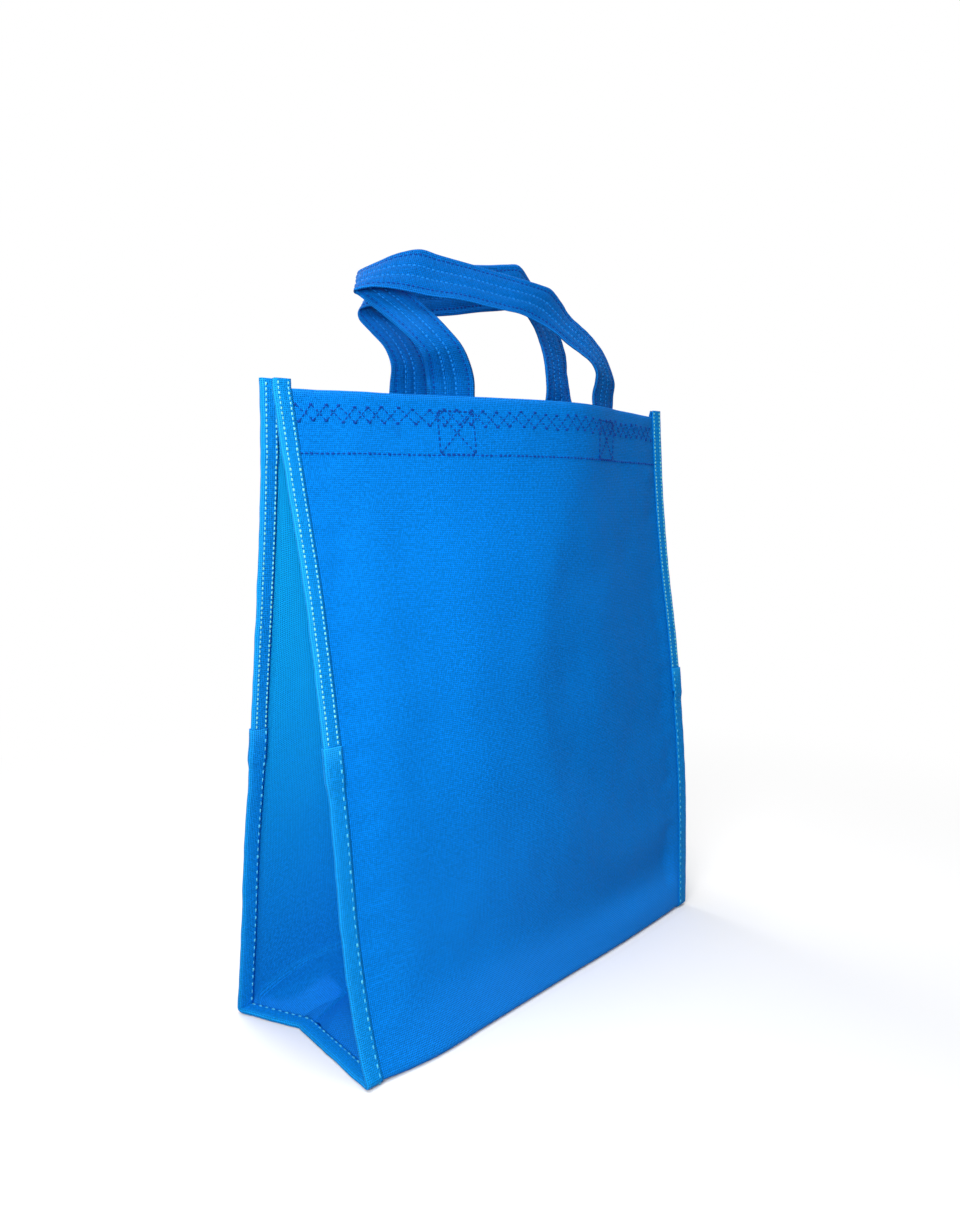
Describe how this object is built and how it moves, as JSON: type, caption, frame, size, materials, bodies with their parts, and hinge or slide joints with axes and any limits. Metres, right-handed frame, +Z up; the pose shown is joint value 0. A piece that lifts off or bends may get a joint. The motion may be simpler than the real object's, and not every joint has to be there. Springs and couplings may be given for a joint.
{
  "type": "reusable carrier bag",
  "caption": "Standing carrier bag of non-woven plastic cloth, with folded side gussets, taped outside seams, stitched hems and two soft strap handles.",
  "frame": {"origin": "middle of the base, on the surface the bag stands on", "axes": "+X across the front towards the right seam as seen from the front, +Y from the front panel to the back panel, +Z up"},
  "size_m": [0.3071, 0.1192, 0.4397],
  "materials": {
    "body_cloth": "embossed non-woven polypropylene, satin",
    "gusset_cloth": "embossed non-woven polypropylene, satin",
    "binding_tape": "soft non-woven binding tape",
    "strap_cloth": "folded and stitched non-woven cloth"
  },
  "bodies": {
    "root": {"body_panel": "body_cloth", "gusset_left": "gusset_cloth", "gusset_right": "gusset_cloth", "binding_front_left": "binding_tape", "binding_back_left": "binding_tape", "binding_lower_left": "binding_tape", "binding_front_right": "binding_tape", "binding_back_right": "binding_tape", "binding_lower_right": "binding_tape", "handle_front": "strap_cloth", "handle_back": "strap_cloth"}
  },
  "joints": []
}
